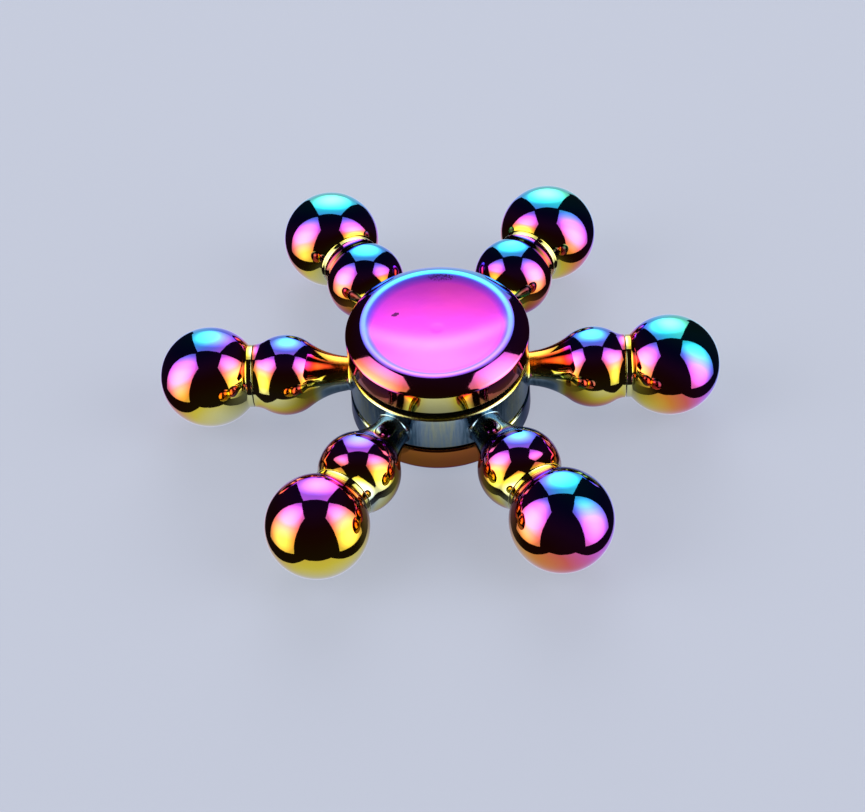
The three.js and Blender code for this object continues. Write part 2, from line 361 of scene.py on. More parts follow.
def coated(name, polish, edge_tint, satin_roughness=0.0, streaks=False, worn=False):
    """Polished metal under a coloured coating. The 'film' attribute holds its thickness. Where
    satin_roughness is given, the 'satin' attribute says where the surface is blasted, or where it
    is rubbed in upright streaks that change the coating. A worn piece has a deeper colour where it is
    blasted, and dark specks where the 'wear' attribute allows them."""
    material, nodes, links, shader = node_tree(name)
    film = nodes.new("ShaderNodeAttribute")
    film.attribute_name = "film"
    drift = noise(nodes, links, WANDER_GRAIN, 2)
    drift = add_math(nodes, links, "SUBTRACT", drift, 0.5)
    drift = add_math(nodes, links, "MULTIPLY", drift, FILM_WANDER)
    thickness = add_math(nodes, links, "ADD", film.outputs["Fac"], drift)

    smudge = noise(nodes, links, SMUDGE_GRAIN, 4)
    smudge = add_math(nodes, links, "MULTIPLY", smudge, polish)
    roughness = add_math(nodes, links, "ADD", smudge, polish / 2)
    fine = add_math(nodes, links, "MULTIPLY", noise(nodes, links, FINE_PEEL_GRAIN, 1), FINE_PEEL)
    relief = add_math(nodes, links, "ADD", noise(nodes, links, PEEL_GRAIN, 1), fine)
    if satin_roughness:
        satin = nodes.new("ShaderNodeAttribute")
        satin.attribute_name = "satin"
        if streaks:
            grain, grain_height = noise(nodes, links, STREAK_GRAIN, 4, STREAK_STRETCH), STREAK_HEIGHT
        else:
            grain, grain_height = noise(nodes, links, BLASTED_GRAIN, 2), GRAIN_HEIGHT
        height = add_math(nodes, links, "MULTIPLY", grain, satin.outputs["Fac"])
        height = add_math(nodes, links, "MULTIPLY", height, grain_height)
        relief = add_math(nodes, links, "ADD", relief, height)
        rough = add_math(nodes, links, "MULTIPLY", satin.outputs["Fac"], satin_roughness)
        if streaks:
            rough = add_math(nodes, links, "MULTIPLY", rough, grain)
            rubbed = add_math(nodes, links, "SUBTRACT", grain, 0.5)
            rubbed = add_math(nodes, links, "MULTIPLY", rubbed, satin.outputs["Fac"])
            rubbed = add_math(nodes, links, "MULTIPLY", rubbed, STREAK_FILM)
            thickness = add_math(nodes, links, "ADD", thickness, rubbed)
        roughness = add_math(nodes, links, "ADD", roughness, rough)

    ramp = nodes.new("ShaderNodeValToRGB")
    stops = ramp.color_ramp.elements
    while len(stops) < len(FILM):
        stops.new(0.5)
    for stop, (position, colour) in zip(stops, FILM):
        stop.position = position
        stop.color = [channel * REFLECTANCE for channel in colour[:3]] + [1]
    links.new(thickness, ramp.inputs["Fac"])
    colour = ramp.outputs["Color"]
    if worn:
        colour = mix_colour(nodes, links, satin.outputs["Fac"], colour, BLASTED_TINT, "MULTIPLY")
        colour = worn_through(nodes, links, colour)
    links.new(colour, shader.inputs["Base Color"])
    bump = nodes.new("ShaderNodeBump")
    bump.inputs["Strength"].default_value = 1
    bump.inputs["Distance"].default_value = ORANGE_PEEL * MM
    links.new(relief, bump.inputs["Height"])
    links.new(bump.outputs["Normal"], shader.inputs["Normal"])
    links.new(roughness, shader.inputs["Roughness"])
    shader.inputs["Metallic"].default_value = 1
    shader.inputs["Specular Tint"].default_value = srgb(*edge_tint)
    return material


def mix_colour(nodes, links, share, colour, other, blend="MIX"):
    """A colour, fixed or from a node, with a share of another fixed one mixed in."""
    mixed = nodes.new("ShaderNodeMix")
    mixed.data_type = "RGBA"
    mixed.blend_type = blend
    factor, first, second = mixed.inputs[0], mixed.inputs[6], mixed.inputs[7]
    links.new(share, factor)
    if isinstance(colour, list):
        first.default_value = colour
    else:
        links.new(colour, first)
    second.default_value = other
    return mixed.outputs[2]


def worn_through(nodes, links, colour):
    """Darkens the colour in fine ragged specks where the 'wear' attribute allows them."""
    wear = nodes.new("ShaderNodeAttribute")
    wear.attribute_name = "wear"
    ragged = noise(nodes, links, WORN_GRAIN, 4)
    specks = add_math(nodes, links, "ADD", wear.outputs["Fac"], ragged)
    specks = add_math(nodes, links, "SUBTRACT", specks, WORN_THRESHOLD)
    specks = add_math(nodes, links, "MULTIPLY", specks, WORN_SHARPNESS)
    clamp = nodes.new("ShaderNodeClamp")
    clamp.inputs["Max"].default_value = WORN_DEPTH
    links.new(specks, clamp.inputs["Value"])
    return mix_colour(nodes, links, clamp.outputs[0], colour, WORN_COLOUR)


def turned_metal(name, dark, light, roughness, lines_per_mm):
    """Bare metal with fine lathe lines round the spin axis."""
    material, nodes, links, shader = node_tree(name)
    lines = noise(nodes, links, lines_per_mm, 3, LATHE_STRETCH)
    cloud = noise(nodes, links, CLOUD_GRAIN, 3)
    colour = mix_colour(nodes, links, cloud, srgb(*dark), srgb(*light))
    links.new(colour, shader.inputs["Base Color"])
    shine = add_math(nodes, links, "MULTIPLY", lines, roughness)
    shine = add_math(nodes, links, "ADD", shine, roughness / 2)
    links.new(shine, shader.inputs["Roughness"])
    bump = nodes.new("ShaderNodeBump")
    bump.inputs["Strength"].default_value = 0.5
    bump.inputs["Distance"].default_value = LATHE_LINE_HEIGHT * MM
    links.new(lines, bump.inputs["Height"])
    links.new(bump.outputs["Normal"], shader.inputs["Normal"])
    shader.inputs["Metallic"].default_value = 1
    return material


ball_plating = coated("ball_plating", 0.04, (225, 225, 245))
rotor_plating = coated("rotor_plating", 0.05, (225, 228, 240), satin_roughness=0.30, streaks=True)
cap_plating = coated("cap_plating", 0.05, (225, 220, 245), satin_roughness=0.24, worn=True)
bearing_steel = turned_metal("bearing_steel", (150, 153, 160), (205, 207, 212), 0.2, 6)
cage_brass = turned_metal("cage_brass", (150, 118, 58), (206, 170, 96), 0.3, 5)

# Thickness of the coating, from 0 (thinnest) to 1 (thickest). The lists start at the arm along +X and go
# counter-clockwise: the back arms have most, the front left one least. The other numbers say how much
# thicker it gets along the arm, to the right, to the back and upwards.
OUTER_BALL_FILM = (0.585, 0.595, 0.585, 0.435, 0.285, 0.475)
OUTER_ALONG = 0.20
OUTER_RIGHT = 0.07
OUTER_BACK = 0.24
OUTER_UP = 0.10
OUTER_TOP = 0.26  # more of it round the very top
INNER_BALL_FILM = (0.46, 0.53, 0.52, 0.43, 0.36, 0.42)
INNER_ALONG = -0.05
INNER_ENDS = -0.02  # at both ends of the ball
INNER_BACK = 0.25
INNER_UP = -0.11
INNER_TOP = 0.43  # more of it at the very top and bottom
NECK_FILM = (0.29, 0.29, 0.29, 0.29, 0.03, 0.03)  # on top of each neck; the front two get almost none, painted shade from the cap over them
# painted shade: the necks' undersides get the thinnest, darkest coating
NECK_UNDERSIDE_SHADE_FILM = 0.025
COLLAR_FILM = 0.14
HUB_FILM = 0.02
HUB_PAINTED_REFLECTION_FILM = 0.05  # more of it between two arms: a painted reflection there, and painted shade next to the arms
HUB_EDGE_FILM = 0.14  # and more on the rounded edges


# Outer balls


def outer_ball_film(along, normal, arm):
    """Coating thickness from the outward normal and its part along the arm."""
    side, back, up = normal[:, 0], normal[:, 1], normal[:, 2]
    film = OUTER_BALL_FILM[arm] + OUTER_ALONG * along + OUTER_RIGHT * side + OUTER_BACK * back
    film = film + OUTER_UP * up + OUTER_TOP * np.maximum(up, 0) ** 3
    collar = smooth_step(0.62, 0.9, -along)
    return np.clip(film * (1 - collar) + COLLAR_FILM * collar, 0, 1)


def outer_ball(arm):
    face = SEAM_AT + SEAM_GAP
    socket_end = SEAM_AT + SPIGOT_LENGTH + SEAM_GAP
    rise = COLLAR_R + COLLAR_CORNER_R
    reach = OUTER_BALL_R + COLLAR_CORNER_R
    turn = math.degrees(math.asin(rise / reach))
    corner_at = OUTER_BALL_AT - reach * math.cos(math.radians(turn))
    outline = [(socket_end, 0), (socket_end, SPIGOT_R + TOUCH_GAP), (face, SPIGOT_R + TOUCH_GAP)]
    collar = [(face, SPIGOT_R), (face, COLLAR_R), (corner_at, COLLAR_R)]
    outline += rounded(collar, [0, BALL_SEAM_CORNER_R, 0], False)[1:]
    outline += arc((corner_at, rise), COLLAR_CORNER_R, -90, -turn, 8)[1:]
    outline += arc((OUTER_BALL_AT, 0), OUTER_BALL_R, 180 - turn, 0, 2.5)[1:]
    verts, faces = turned([(radius, along) for along, radius in outline], SIDES_ARM, False)
    verts = along_x(verts)
    normal = (verts - np.array([OUTER_BALL_AT, 0, 0])) / OUTER_BALL_R
    obj = make_piece(f"outer_ball_{arm + 1}_mirror", (turn_z(verts, arm * ARM_TURN), faces))
    paint(obj, "film", outer_ball_film(normal[:, 0], turn_z(normal, arm * ARM_TURN), arm))
    return settle(obj, "rotor", "ball_plating", ball_plating, f"outer_ball_{arm + 1}")


# Rotor casting


def hub_radius_at(height):
    """Radius of the hub's outer wall at a height over the mid plane, its rounded edges included."""
    over = np.maximum(height - (HUB_RISE - HUB_EDGE_R), 0) + np.maximum(HUB_EDGE_R - HUB_DROP - height, 0)
    over = np.minimum(over, HUB_EDGE_R)
    return HUB_R - HUB_EDGE_R + np.sqrt(HUB_EDGE_R**2 - over**2)


def hub_ring():
    bore = BEARING_OUTER_R + TOUCH_GAP
    lead_in = 0.25
    mouth = bore + lead_in
    edge = HUB_R - HUB_EDGE_R
    low, high = -HUB_DROP, HUB_RISE
    outline = [(bore, low + lead_in), (mouth, low)] + line((mouth, low), (edge, low), 8)
    outline += arc((edge, low + HUB_EDGE_R), HUB_EDGE_R, -90, 0, 9)
    outline += line((HUB_R, low + HUB_EDGE_R), (HUB_R, high - HUB_EDGE_R), 8)
    outline += arc((edge, high - HUB_EDGE_R), HUB_EDGE_R, 0, 90, 9)
    outline += line((edge, high), (mouth, high), 8) + [(mouth, high), (bore, high - lead_in)]
    return turned(outline, SIDES_CAP, True)


def neck_root(sides):
    """Rings of the hollow curve where a neck grows out of the hub wall, from inside the wall outwards."""
    turns = 2 * math.pi * np.arange(sides) / sides
    fillet = NECK_ROOT_SIDE_R * np.cos(turns) ** 2 + NECK_ROOT_TOP_R * np.sin(turns) ** 2
    sunk = 0.03
    rings = []
    for step in np.linspace(0, 90, 9):
        lean = math.radians(step)
        radius = NECK_R + fillet * (1 - math.sin(lean))
        y, z = radius * np.cos(turns), radius * np.sin(turns)
        wall = np.sqrt(np.maximum(hub_radius_at(z) ** 2 - y**2, 0))
        x = wall + fillet * (1 - math.cos(lean)) - sunk * math.cos(lean)
        rings.append(np.stack([x, y, z], 1))
    return rings


def arm_shell():
    """A neck, its root, the inner ball and the spigot that carries the outer ball."""
    neck_reach = INNER_BALL_R + NECK_FLARE_R
    neck_rise = NECK_R + NECK_FLARE_R
    neck_turn = math.degrees(math.asin(neck_rise / neck_reach))
    neck_at = INNER_BALL_AT - neck_reach * math.cos(math.radians(neck_turn))
    collar_reach = INNER_BALL_R + COLLAR_FLARE_R
    collar_rise = COLLAR_R + COLLAR_FLARE_R
    collar_turn = math.degrees(math.asin(collar_rise / collar_reach))
    collar_at = INNER_BALL_AT + collar_reach * math.cos(math.radians(collar_turn))
    spigot_end = SEAM_AT + SPIGOT_LENGTH
    flare_start = max(neck_at, HUB_R + NECK_ROOT_LENGTH)
    start_turn = -math.degrees(math.acos((flare_start - neck_at) / NECK_FLARE_R))
    outline = arc((neck_at, neck_rise), NECK_FLARE_R, start_turn, -neck_turn, 3)
    outline += arc((INNER_BALL_AT, 0), INNER_BALL_R, 180 - neck_turn, collar_turn, 2.5)[1:]
    outline += arc((collar_at, collar_rise), COLLAR_FLARE_R, 180 + collar_turn, COLLAR_FLARE_END, 6)[1:]
    collar = [outline[-1], (SEAM_AT, COLLAR_R), (SEAM_AT, SPIGOT_R)]
    outline += rounded(collar, [0, CASTING_SEAM_CORNER_R, 0], False)[1:]
    outline += [(spigot_end - SPIGOT_TIP, SPIGOT_R), (spigot_end, SPIGOT_R - SPIGOT_TIP), (spigot_end, 0)]
    root = neck_root(SIDES_ARM)
    buried = (BEARING_OUTER_R + HUB_R) / 2
    start = [(buried, 0)] + [(buried, NECK_R)] * (1 + len(root))
    verts, faces = turned([(radius, along) for along, radius in start + outline], SIDES_ARM, False)
    verts = along_x(verts)
    first = 1 + SIDES_ARM
    verts[first : first + len(root) * SIDES_ARM] = np.concatenate(root)
    return verts, faces


def arm_film(verts, arm):
    """Coating thickness on a neck and its inner ball, before the arm is turned to its place."""
    ball = (verts - np.array([INNER_BALL_AT, 0, 0])) / INNER_BALL_R
    along, up = ball[:, 0], np.clip(ball[:, 2], -1, 1)
    back = np.clip(turn_z(ball, arm * ARM_TURN)[:, 1], -1, 1)
    film = INNER_BALL_FILM[arm] + INNER_ALONG * along + INNER_ENDS * along**2
    film = film + INNER_BACK * back + INNER_UP * up + INNER_TOP * up**2
    ends = smooth_step(0.60, 0.95, np.abs(along))
    film = film * (1 - ends) + COLLAR_FILM * ends
    around = np.maximum(np.hypot(verts[:, 1], verts[:, 2]), 1e-6)
    # painted shade: dark under every neck, and on top of the two front ones as well
    neck = NECK_UNDERSIDE_SHADE_FILM + NECK_FILM[arm] * smooth_step(-0.1, 0.9, verts[:, 2] / around)
    to_ball = smooth_step(-1.05, -0.65, along)
    return np.clip(neck * (1 - to_ball) + film * to_ball, 0, 1)


def hub_film(verts):
    """The hub is pale between the arms, a painted reflection, and dark next to them, painted shade,
    with a thin gold line on its rounded edges."""
    radius = np.hypot(verts[:, 0], verts[:, 1])
    height = verts[:, 2]
    turn = np.degrees(np.arctan2(verts[:, 1], verts[:, 0]))
    from_arm = np.abs((turn + ARM_TURN / 2) % ARM_TURN - ARM_TURN / 2)
    edge = smooth_step(HUB_RISE - HUB_EDGE_R, HUB_RISE - 0.12, height)
    edge += smooth_step(HUB_EDGE_R - HUB_DROP, 0.12 - HUB_DROP, height)
    face = smooth_step(HUB_R - 0.25, HUB_R - 0.6, radius)
    painted_reflection = smooth_step(10, 24, from_arm)
    return HUB_FILM + HUB_PAINTED_REFLECTION_FILM * painted_reflection + HUB_EDGE_FILM * edge * (1 - face)


def rotor_casting():
    hub = hub_ring()
    shells, films, satins = [hub], [hub_film(hub[0])], [np.ones(len(hub[0]))]
    for arm in range(ARM_COUNT):
        verts, faces = arm_shell()
        shells.append((turn_z(verts, arm * ARM_TURN), faces))
        films.append(arm_film(verts, arm))
        satins.append(smooth_step(NECK_END_AT, HUB_R, verts[:, 0]))
    obj = make_piece("rotor_casting", joined(shells))
    paint(obj, "film", np.concatenate(films))
    paint(obj, "satin", np.concatenate(satins))
    return settle(obj, "rotor", "rotor_plating", rotor_plating, "rotor_body")


# Finger caps

# Coating on a cap, as on the balls
DISH_FILM = 0.545
DISH_RIGHT = -0.025
DISH_OUTER = 0.02
DISH_EDGE = 0.17
DISH_FADE = 0.10  # width of the blue edge, as a share of the dish's radius
DISH_BACK_FADE = 0.10  # more of it at the back
RIM_FILM = 0.73
RIM_BACK = 0.09
BEVEL_FILM = 0.385
BEVEL_RIGHT = 0.07
BEVEL_SIDES = 0.05
BEVEL_UP = 0.06
BEVEL_BACK = 0.40
TOP_WALL_FILM = 0.15
# painted reflection: the bottom cap's orange wall stands for a hand mirrored below it, in shade
BOTTOM_WALL_REFLECTION_FILM = 0.35
WALL_SIDES = 0.20
WALL_UP = 0.03
WALL_SIDES_UP = 0.10

# Marks of use in the dish, and a painted highlight: a curved band and the front are less blasted, so
# smoother and paler
BAND_AT = -2.9
BAND_SLOPE = 0.05
BAND_CURVE = 0.025
BAND_REACH = 1.6
BAND_POLISH_AND_HIGHLIGHT = 0.55
FRONT_POLISH_AND_SHEEN = 0.3
WORN_PATCH = 0.58
WORN_PATCH_AT = 86
NICK_X = -5.55
NICK_Y = 2.4
NICK_SLOPE = 0.5
NICK_LENGTH = 0.55
NICK_WIDTH = 0.36


def cap_shell(gap):
    """A finger cap facing up, with its hub-side edge at height 0."""
    dish_r = (RIM_INNER_R**2 + DISH_DEPTH**2) / (2 * DISH_DEPTH)
    dish_turn = math.degrees(math.asin(RIM_INNER_R / dish_r))
    boss_end = -gap + TOUCH_GAP
    plug_end = boss_end - PLUG_LENGTH
    hole_r = STUD_R + TOUCH_GAP
    corners = [
        ((0, plug_end + THREAD_HOLE_DEPTH), 0),
        ((hole_r, plug_end + THREAD_HOLE_DEPTH), 0),
        ((hole_r, plug_end), 0.1),
        ((PLUG_R, plug_end), 0.25),
        ((PLUG_R, boss_end), 0),
        ((BOSS_R, boss_end), 0.12),
        ((BOSS_R, 0), 0.3),
        ((CAP_EDGE_R, 0), 0.3),
        ((CAP_R, CAP_WALL), FOOT_ROUND),
        ((RIM_OUTER_R, CAP_HEIGHT), RIM_ROUND),
        ((RIM_INNER_R, CAP_HEIGHT), 0),
    ]
    outline = rounded([c for c, r in corners], [r for c, r in corners], False)[:-1]
    dish_centre = (0, CAP_HEIGHT - DISH_DEPTH + dish_r)
    lip = dish_turn - 90
    lip_start = (RIM_INNER_R + LIP_ROUND, CAP_HEIGHT)
    outline += [lip_start] + bend(lip_start, (RIM_INNER_R, CAP_HEIGHT), dish_centre, dish_r, lip)
    outline += arc(dish_centre, dish_r, lip - 1, -90, 0.3)
    outline = [(radius, height + pip_height(radius, height)) for radius, height in outline]
    outline[-1] = (0, CAP_HEIGHT - DISH_DEPTH + PIP_RISE)
    return turned(outline, SIDES_CAP, False)


def bend(start, corner, centre, radius, turn):
    """A soft curve from start past the corner to a point one degree down the dish."""
    angle = math.radians(turn - 1)
    end = (centre[0] + radius * math.cos(angle), centre[1] + radius * math.sin(angle))
    out = []
    for t in np.linspace(0, 1, 7)[1:-1]:
        near, middle, far = (1 - t) ** 2, 2 * t * (1 - t), t**2
        out.append(tuple(near * s + middle * c + far * e for s, c, e in zip(start, corner, end)))
    return out


def pip_height(radius, height):
    """A tiny raised pip left by the casting in the middle of the dish."""
    if height < CAP_HEIGHT - DISH_DEPTH - 0.01 or radius > 2 * PIP_R:
        return 0
    return PIP_RISE * math.exp(-((radius / PIP_R) ** 4))


def cap_film(verts, facing_up, wall_film):
    """Coating thickness on a cap that faces up."""
    radius = np.hypot(verts[:, 0], verts[:, 1])
    height = verts[:, 2]
    side, back = verts[:, 0] / CAP_R, verts[:, 1] / CAP_R
    share = radius / RIM_INNER_R
    fade = DISH_FADE + DISH_BACK_FADE * np.maximum(back, 0)
    dish = DISH_FILM + DISH_RIGHT * side + DISH_OUTER * smooth_step(0.6, 0.9, share)
    dish = dish + DISH_EDGE * np.clip((share - 1) / fade + 1, 0, 1)
    rim = RIM_FILM + RIM_BACK * back
    top = dish + (rim - dish) * (1 - in_dish(radius))
    bevel = BEVEL_FILM + BEVEL_RIGHT * side + BEVEL_SIDES * np.abs(side)
    bevel = bevel + BEVEL_UP * smooth_step(CAP_WALL, CAP_HEIGHT, height)
    bevel = bevel + BEVEL_BACK * smooth_step(0.2, 0.7, back)
    climb = smooth_step(0.1 * CAP_WALL, CAP_WALL, height)
    flank = smooth_step(0.08, 0.5, np.abs(side))
    if facing_up:
        wall = wall_film + WALL_SIDES * flank + (WALL_UP + WALL_SIDES_UP * flank) * climb
    else:
        # painted shade: the bottom cap's wall goes to the thinnest, darkest coating at its sides
        wall = wall_film * smooth_step(0.95, 0.55, np.abs(side))
    on_bevel = smooth_step(RIM_OUTER_R - 0.1, RIM_OUTER_R + 0.4, radius)
    on_wall = smooth_step(CAP_WALL + 0.2, CAP_WALL - 0.3, height) * on_bevel
    film = top + (bevel - top) * on_bevel
    return film + (wall - film) * on_wall


def in_dish(radius):
    """1 in the dish, 0 outside it."""
    return smooth_step(RIM_INNER_R + 0.15, RIM_INNER_R - 0.1, radius)


def cap_satin(verts):
    """How blasted the surface is: all of the dish, less in a curved band and at the front, which are
    smoother and paler there, a painted highlight.
    """
    x, y, height = verts.T
    floor_at = CAP_HEIGHT - DISH_DEPTH
    blasted = in_dish(np.hypot(x, y)) * smooth_step(floor_at - 0.1, floor_at, height)
    band_at = BAND_AT + BAND_SLOPE * x + BAND_CURVE * x**2
    # painted highlight: less blasting in this band and towards the front leaves the colour paler, as well
    # as smoother
    blasted = blasted * (1 - BAND_POLISH_AND_HIGHLIGHT * np.exp(-(((y - band_at) / BAND_REACH) ** 2)))
    return blasted * (1 - FRONT_POLISH_AND_SHEEN * smooth_step(-1, -6.5, y))


def cap_wear(verts):
    """Where the coating has worn through: a patch at the back of the dish, and one nick."""
    x, y = verts[:, 0], verts[:, 1]
    radius = np.hypot(x, y)
    from_middle = np.abs(np.degrees(np.arctan2(y, x)) - WORN_PATCH_AT)
    patch = smooth_step(0.72, 0.95, radius / RIM_INNER_R) * smooth_step(28, 4, from_middle)
    along = (x - NICK_X) / NICK_LENGTH
    across = (y - NICK_Y - NICK_SLOPE * (x - NICK_X)) / NICK_WIDTH
    nick = smooth_step(1.3, 0.6, np.hypot(along, across))
    return np.maximum(WORN_PATCH * patch, nick) * in_dish(radius)


def cap(name, gap, facing_up, wall_film):
    verts, faces = cap_shell(gap)
    placed = verts + np.array([0, 0, BEARING_WIDTH / 2 + gap])
    obj = make_piece(f"{name}_dished", (placed if facing_up else flip_x(placed), faces), sharp=40)
    paint(obj, "film", cap_film(verts, facing_up, wall_film))
    paint(obj, "satin", cap_satin(verts))
    paint(obj, "wear", cap_wear(verts) * facing_up)
    return settle(obj, "finger_caps", "cap_plating", cap_plating, name)


# Bearing


def ring_piece(name, corners, body, slot, material, node, flipped=False, sides=SIDES_BEARING):
    """A turned ring from [radius, height, corner radius] corners, counter-clockwise."""
    outline = rounded([(r, h) for r, h, c in corners], [c for r, h, c in corners], True)
    verts, faces = turned(outline, sides, True)
    obj = make_piece(name, (flip_x(verts) if flipped else verts, faces), sharp=35)
    return settle(obj, body, slot, material, node)


def races():
    half = BEARING_WIDTH / 2
    seat = half - SHIELD_SEAT_DEPTH
    groove = BALL_R + 0.06
    gap = OUTER_SHOULDER_R - PITCH_R
    rise = math.degrees(math.acos(gap / groove))
    outer = [(BEARING_OUTER_R, -half), (BEARING_OUTER_R, half)]
    outer += [(SHIELD_SEAT_R, half), (SHIELD_SEAT_R, seat), (OUTER_SHOULDER_R, seat)]
    outer += arc((PITCH_R, 0), groove, rise, -rise, 8)
    outer += [(OUTER_SHOULDER_R, -seat), (SHIELD_SEAT_R, -seat), (SHIELD_SEAT_R, -half)]
    radii = [RACE_CORNER_R * (r == BEARING_OUTER_R) for r, h in outer]
    verts, faces = turned(rounded(outer, radii, True), SIDES_BEARING, True)
    obj = make_piece("outer_race_ground", (verts, faces), sharp=35)
    settle(obj, "rotor", "bearing_steel", bearing_steel, "bearing_outer_race")

    gap = PITCH_R - INNER_SHOULDER_R
    rise = math.degrees(math.acos(gap / groove))
    inner = [(BEARING_BORE_R, half), (BEARING_BORE_R, -half), (INNER_SHOULDER_R, -half)]
    inner += arc((PITCH_R, 0), groove, 180 + rise, 180 - rise, 8)
    inner += [(INNER_SHOULDER_R, half)]
    radii = [RACE_CORNER_R * (r == BEARING_BORE_R) for r, h in inner]
    verts, faces = turned(rounded(inner, radii, True), SIDES_BEARING, True)
    obj = make_piece("inner_race_ground", (verts, faces), sharp=35)
    settle(obj, "finger_caps", "bearing_steel", bearing_steel, "bearing_inner_race")


def bearing_balls():
    outline = arc((0, 0), BALL_R, -90, 90, 7.5)
    outline = [(0, -BALL_R)] + outline[1:-1] + [(0, BALL_R)]
    for i in range(BALL_COUNT):
        turn = math.radians((i + 0.5) * 360 / BALL_COUNT)
        verts, faces = turned(outline, SIDES_SMALL, False)
        verts = verts + np.array([PITCH_R * math.cos(turn), PITCH_R * math.sin(turn), 0])
        obj = make_piece(f"bearing_ball_{i + 1}_polished", (verts, faces))
        settle(obj, "ball_train", "bearing_steel", bearing_steel, f"bearing_ball_{i + 1}")


def cage():
    half = CAGE_HEIGHT / 2
    corners = [(CAGE_OUTER_R, -half), (CAGE_OUTER_R, half), (CAGE_INNER_R, half), (CAGE_INNER_R, -half)]
    ring = turned(rounded(corners, [0.12] * 4, True), 4 * SIDES_SMALL, True)
    obj = make_piece("cage_pressed", ring, sharp=35)
    pin = [(0, 0), (POCKET_R, 0), (POCKET_R, CAGE_OUTER_R), (0, CAGE_OUTER_R)]
    cutters = []
    for i in range(BALL_COUNT):
        verts, faces = turned(pin, SIDES_SMALL, False)
        verts = along_x(verts) + np.array([PITCH_R - CAGE_OUTER_R / 2, 0, 0])
        cutters.append((turn_z(verts, (i + 0.5) * 360 / BALL_COUNT), faces))
    cutter = make_piece("cage_cutter", joined(cutters))
    cut = obj.modifiers.new("pockets", "BOOLEAN")
    cut.operation = "DIFFERENCE"
    cut.object = cutter
    bpy.context.view_layer.update()
    done = obj.evaluated_get(bpy.context.evaluated_depsgraph_get())
    mesh = bpy.data.meshes.new_from_object(done)
    obj.modifiers.clear()
    obj.data = mesh
    bpy.data.objects.remove(cutter)
    settle(obj, "ball_train", "cage_brass", cage_brass, "bearing_cage")


def shields():
    seat = BEARING_WIDTH / 2 - SHIELD_SEAT_DEPTH + TOUCH_GAP / 2
    top = seat + SHIELD_THICKNESS
    outer = SHIELD_SEAT_R - TOUCH_GAP
    lip_r = SHIELD_BORE_R + 0.25
    lip_rise = 0.12
    bore = SHIELD_BORE_R
    shield = [(outer, seat, 0.05), (outer, top, 0.05), (lip_r, top, 0.1)]
    shield += [(bore, top + lip_rise, 0.05), (bore, seat + lip_rise, 0.05), (lip_r, seat, 0.1)]
    for side in ("top", "bottom"):
        ring_piece(
            f"bearing_shield_{side}_pressed", shield, "rotor", "bearing_steel", bearing_steel,
            f"bearing_shield_{side}", flipped=side == "bottom",
        )


def clips():
    low = BEARING_WIDTH / 2 - SHIELD_SEAT_DEPTH + SHIELD_THICKNESS + TOUCH_GAP
    high = low + CLIP_THICKNESS
    outer = SHIELD_SEAT_R - TOUCH_GAP
    corners = [(outer, low), (outer, high), (CLIP_INNER_R, high), (CLIP_INNER_R, low)]
    outline = rounded(corners, [0.05] * 4, True)
    turns = np.radians(np.linspace(CLIP_OPENING / 2, 360 - CLIP_OPENING / 2, SIDES_BEARING))
    count = len(outline)
    verts = [(r * math.cos(a), r * math.sin(a), h) for a in turns for r, h in outline]
    faces = []
    for i in range(len(turns) - 1):
        for j in range(count):
            k = (j + 1) % count
            faces.append([i * count + j, (i + 1) * count + j, (i + 1) * count + k, i * count + k])
    faces.append(list(range(count)))
    faces.append([(len(turns) - 1) * count + j for j in range(count)][::-1])
    for side in ("top", "bottom"):
        placed = np.array(verts) if side == "top" else flip_x(np.array(verts))
        obj = make_piece(f"shield_clip_{side}_wire", (placed, faces), sharp=35)
        settle(obj, "rotor", "bearing_steel", bearing_steel, f"shield_clip_{side}")


def stud():
    """The stud with its thread: a helical groove cut as a shift of the radius."""
    half = STUD_LENGTH / 2
    tip = 0.3
    pitch = 0.5
    depth = 0.14
    rows = 112
    outline = [(0, -half), (STUD_R - tip, -half)]
    outline += [(STUD_R, -half + tip + (STUD_LENGTH - 2 * tip) * i / rows) for i in range(rows + 1)]
    outline += [(STUD_R - tip, half), (0, half)]
    verts, faces = turned(outline, SIDES_SMALL, False)
    radius = np.hypot(verts[:, 0], verts[:, 1])
    turn = np.arctan2(verts[:, 1], verts[:, 0]) / (2 * math.pi)
    phase = (verts[:, 2] / pitch + turn) % 1
    groove = depth * (1 - np.abs(2 * phase - 1))
    threaded = radius > STUD_R - 0.01
    scale = np.where(threaded, (radius - groove) / np.maximum(radius, 1e-6), 1)
    verts[:, :2] *= scale[:, None]
    obj = make_piece("centre_stud_threaded", (verts, faces), sharp=40)
    settle(obj, "finger_caps", "bearing_steel", bearing_steel, "centre_stud")


# Camera, floor and light

REACH = 1000  # of the soft boxes
FLOOR_R = 700
NEAR_FLOOR_R = 60
NEAR_FLOOR_FADE = (34, 11)  # distances from the axis where the patch ends and where it is full
FLOOR_COLOUR = (0.106, 0.113, 0.135, 1)
FLOOR_LIFT = 3.5  # light of its own, so that the spinner's shadow stays faint
NEAR_FLOOR_LIFT = 1.1  # the same for the patch in the rotor's shade that the metal mirrors
TABLE_GLOW = (0.94, 0.98, 1.19)
BACKDROP = (0.55, 0.59, 0.70, 1)
DARK_ROOM = (0.014, 0.010, 0.016, 1)
TABLE_DEPTH = 400
TABLE_FRONT = 730
TABLE_HALF_WIDTH = 330
TABLE_TOP_HALF_WIDTH = 380  # at the upper edge of its bent back
BOX_CENTRE = 7.5  # light in the middle of each soft box, and at its edge
BOX_EDGE = 1.3
BOX_SPREAD = 0.6  # how far the light reaches across it from the middle, as a share of its width


